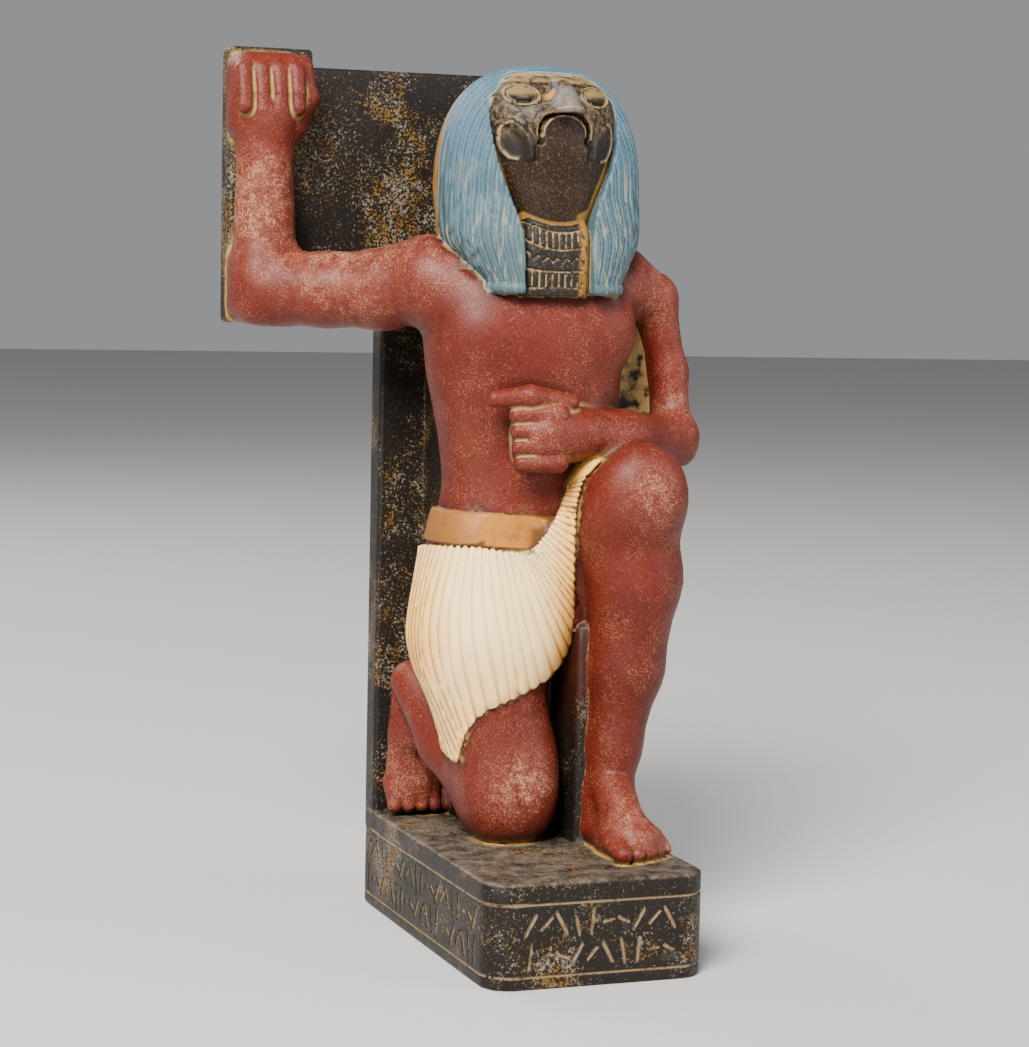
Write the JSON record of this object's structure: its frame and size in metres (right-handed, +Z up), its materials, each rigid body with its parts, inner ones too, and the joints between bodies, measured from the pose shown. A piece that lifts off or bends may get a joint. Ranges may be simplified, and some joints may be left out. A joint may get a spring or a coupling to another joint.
{
  "type": "painted kneeling falcon-headed statuette",
  "caption": "Painted stone-like statuette of a kneeling falcon-headed man, one arm raised against a back slab, on a base with incised strokes",
  "frame": {"origin": "middle of the base's flat underside", "axes": "+Z up, -Y the side the figure faces, +X to the right of a viewer in front of it (the figure's left)"},
  "size_m": [0.1286, 0.11, 0.25],
  "materials": {
    "painted_stone": "hand-painted, matt to satin, worn"
  },
  "bodies": {
    "root": {"horus_falcon_figure": "painted_stone"}
  },
  "joints": []
}
